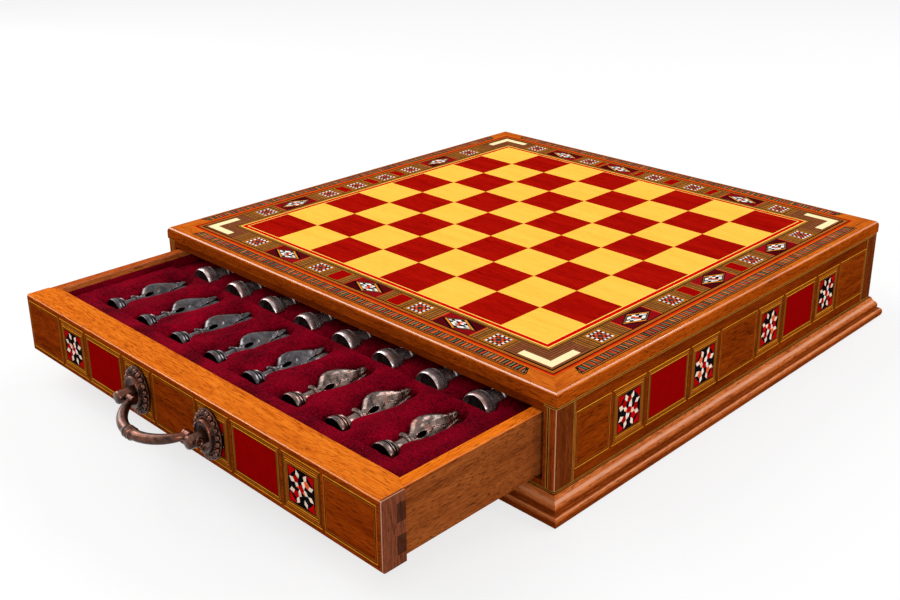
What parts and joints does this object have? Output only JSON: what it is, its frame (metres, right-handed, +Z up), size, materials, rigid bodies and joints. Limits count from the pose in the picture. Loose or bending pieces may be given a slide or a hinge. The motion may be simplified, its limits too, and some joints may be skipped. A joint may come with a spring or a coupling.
{
  "type": "chess box with drawers",
  "caption": "Square chess box with a marquetry top on a moulded base, with opposed velvet-lined drawers on bail handles that hold the metal chessmen.",
  "frame": {"origin": "centre of the flat underside of the case, on the surface the box stands on", "axes": "+Z up; +Y from the front drawer (open at rest, opening towards -Y) to the rear drawer; +X to the right seen from the front drawer"},
  "size_m": [0.417, 0.595, 0.082],
  "materials": {
    "case_wood": "satin lacquered mahogany",
    "rim_wood": "glossy lacquered mahogany",
    "dark_wood": "satin lacquered walnut",
    "drawer_wood": "satin lacquered",
    "plywood": "plain board",
    "yellow_veneer": "glossy dyed veneer",
    "red_veneer": "glossy dyed veneer",
    "red_tile": "glossy dyed veneer",
    "striped_veneer": "glossy striped marquetry",
    "mosaic": "glossy marquetry of small coloured pieces",
    "stringing": "glossy striped stringing",
    "bone": "polished",
    "velvet": "short pile velvet",
    "antique_copper": "antiqued copper plating",
    "pewter": "antiqued pewter",
    "steel": "zinc plated"
  },
  "bodies": {
    "case": {"base_moulding": "case_wood", "bottom_board": "plywood", "corner_posts": "dark_wood", "side_panels": "case_wood", "drawer_rails": "case_wood", "partition": "plywood", "drawer_runners": "plywood", "drawer_kickers": "plywood", "top_board": "plywood", "top_rim": "rim_wood", "light_squares": "yellow_veneer", "dark_squares": "red_veneer", "field_lines_yellow": "yellow_veneer", "field_line_red": "red_veneer", "border_band": "striped_veneer", "border_mosaics": "mosaic", "border_rhombi": "mosaic", "border_red_tiles": "red_tile", "bone_corners": "bone", "border_line": "stringing", "edge_strips": "mosaic", "case_stringing": "stringing", "side_frames": "stringing", "side_red_tiles": "red_tile", "side_mosaics": "mosaic"},
    "front_drawer": {"front_face": "case_wood", "front_sides": "drawer_wood", "front_back": "drawer_wood", "front_bottom": "plywood", "front_frames": "stringing", "front_red_tiles": "red_tile", "front_mosaics": "mosaic", "front_lining": "velvet", "front_tray": "velvet", "front_roses": "antique_copper", "front_posts": "antique_copper", "front_screws": "steel", "front_pawns": "pewter", "front_rooks": "pewter", "front_knights": "pewter", "front_bishops": "pewter", "front_queen": "pewter", "front_king": "pewter"},
    "rear_drawer": {"rear_face": "case_wood", "rear_sides": "drawer_wood", "rear_back": "drawer_wood", "rear_bottom": "plywood", "rear_frames": "stringing", "rear_red_tiles": "red_tile", "rear_mosaics": "mosaic", "rear_lining": "velvet", "rear_tray": "velvet", "rear_roses": "antique_copper", "rear_posts": "antique_copper", "rear_screws": "steel", "rear_pawns": "pewter", "rear_officers": "pewter"},
    "front_bail": {"front_bail": "antique_copper"},
    "rear_bail": {"rear_bail": "antique_copper"}
  },
  "joints": [
    {"name": "front_slide", "type": "slide", "parent": "case", "child": "front_drawer", "axis": [0, -1, 0], "range_m": [-0.125, 0.04]},
    {"name": "rear_slide", "type": "slide", "parent": "case", "child": "rear_drawer", "axis": [0, 1, 0], "range_m": [0, 0.165]},
    {"name": "front_bail_hinge", "type": "hinge", "parent": "front_drawer", "child": "front_bail", "pos_m": [0, -0.336, 0.0445], "axis": [1, 0, 0], "range_deg": [-85, 80]},
    {"name": "rear_bail_hinge", "type": "hinge", "parent": "rear_drawer", "child": "rear_bail", "pos_m": [0, 0.211, 0.0445], "axis": [-1, 0, 0], "range_deg": [-85, 80]}
  ]
}
